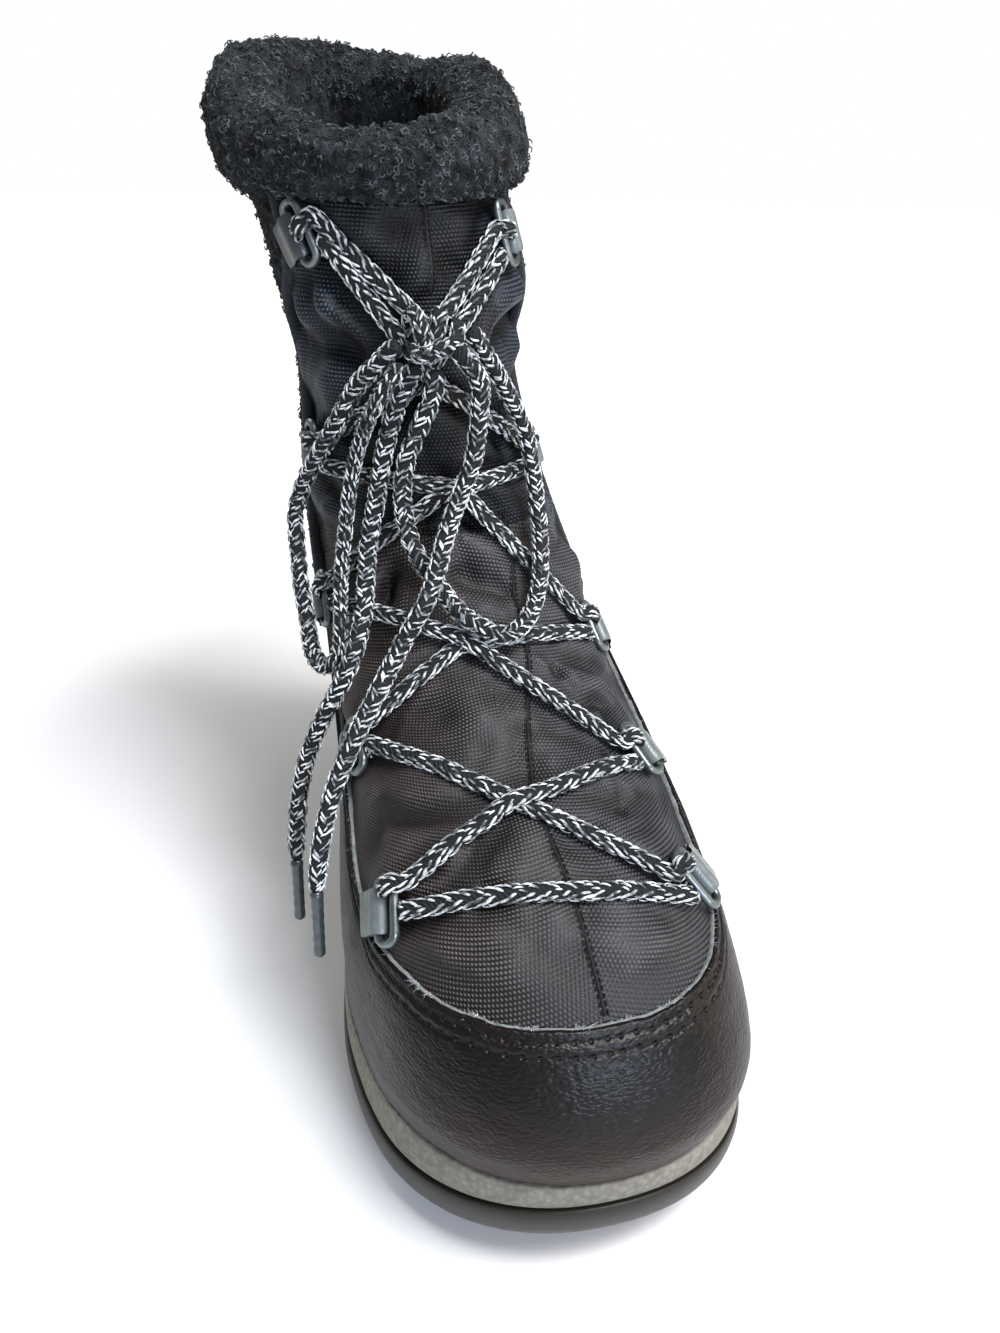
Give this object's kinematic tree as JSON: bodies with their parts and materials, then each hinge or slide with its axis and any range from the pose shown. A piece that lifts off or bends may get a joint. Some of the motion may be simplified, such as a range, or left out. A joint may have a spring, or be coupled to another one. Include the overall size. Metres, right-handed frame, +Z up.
{
  "type": "lace-up snow boot",
  "caption": "Left ankle-high snow boot with a leather rand, nylon shaft, fleece collar, lace rings with a tied bow, and a flat rubber sole.",
  "frame": {"origin": "on the floor, at the middle of the boot's plan without its free laces", "axes": "+X towards the outer side of the left foot, -Y towards the toe, +Z up"},
  "size_m": [0.1302, 0.2865, 0.2919],
  "materials": {
    "outsole_rubber": "satin black moulded rubber",
    "midsole_foam": "matt pebbled grey-taupe foam",
    "footbed_felt": "matt felt",
    "nylon_shell": "coarse woven nylon, slight sheen",
    "coated_leather": "semi-gloss coated leather, fine grain",
    "felt_band": "matt blue-grey felt",
    "fleece": "matt nubby fleece",
    "tab": "glossy pale grey coated strap",
    "ring_wire": "satin gunmetal grey",
    "lace": "braid of black, grey and white yarns",
    "lace_tip": "dark glossy film"
  },
  "bodies": {
    "root": {"outsole": "outsole_rubber", "midsole": "midsole_foam", "insole": "footbed_felt", "upper": "nylon_shell", "tongue": "nylon_shell", "rand": "coated_leather", "facing_medial": "felt_band", "facing_lateral": "felt_band", "collar": "fleece", "ring_tab_1_medial": "tab", "lace_ring_1_medial": "ring_wire", "ring_tab_1_lateral": "tab", "lace_ring_1_lateral": "ring_wire", "ring_tab_2_medial": "tab", "lace_ring_2_medial": "ring_wire", "ring_tab_2_lateral": "tab", "lace_ring_2_lateral": "ring_wire", "ring_tab_3_medial": "tab", "lace_ring_3_medial": "ring_wire", "ring_tab_3_lateral": "tab", "lace_ring_3_lateral": "ring_wire", "ring_tab_4_medial": "tab", "lace_ring_4_medial": "ring_wire", "ring_tab_4_lateral": "tab", "lace_ring_4_lateral": "ring_wire", "ring_tab_5_medial": "tab", "lace_ring_5_medial": "ring_wire", "ring_tab_5_lateral": "tab", "lace_ring_5_lateral": "ring_wire", "lace_bar": "lace", "lace_cross_1": "lace", "lace_cross_2": "lace", "lace_cross_3": "lace", "lace_cross_4": "lace", "knot": "lace", "bow_loop_lateral": "lace", "bow_loop_medial": "lace", "lace_end_lateral": "lace", "lace_end_medial": "lace", "aglet_lateral": "lace_tip", "aglet_medial": "lace_tip"}
  },
  "joints": []
}
